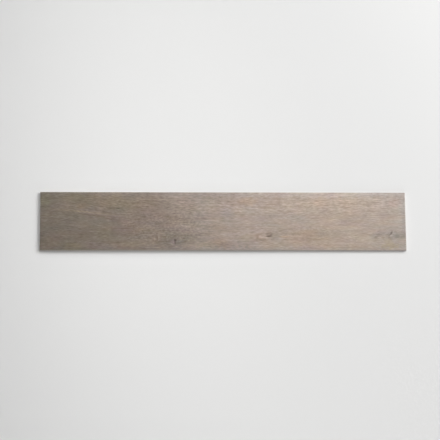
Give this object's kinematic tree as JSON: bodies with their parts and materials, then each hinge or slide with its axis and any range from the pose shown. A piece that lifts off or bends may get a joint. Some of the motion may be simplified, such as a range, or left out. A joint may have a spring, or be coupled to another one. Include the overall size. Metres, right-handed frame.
{
  "type": "porcelain plank tile",
  "caption": "Long rectangular porcelain floor and wall tile with a flat wood-look glazed face, ground square edges and a ribbed, keyed back.",
  "frame": {"origin": "centre of the plane that the ribs of the back stand on, which is the bottom centre of the tile as it lies", "axes": "+X along the plank, towards the lighter end of its print; +Y across it; +Z out of the glazed face"},
  "size_m": [1.2, 0.193, 0.01],
  "materials": {
    "printed_porcelain": "satin"
  },
  "bodies": {
    "root": {"porcelain_tile": "printed_porcelain"}
  },
  "joints": []
}
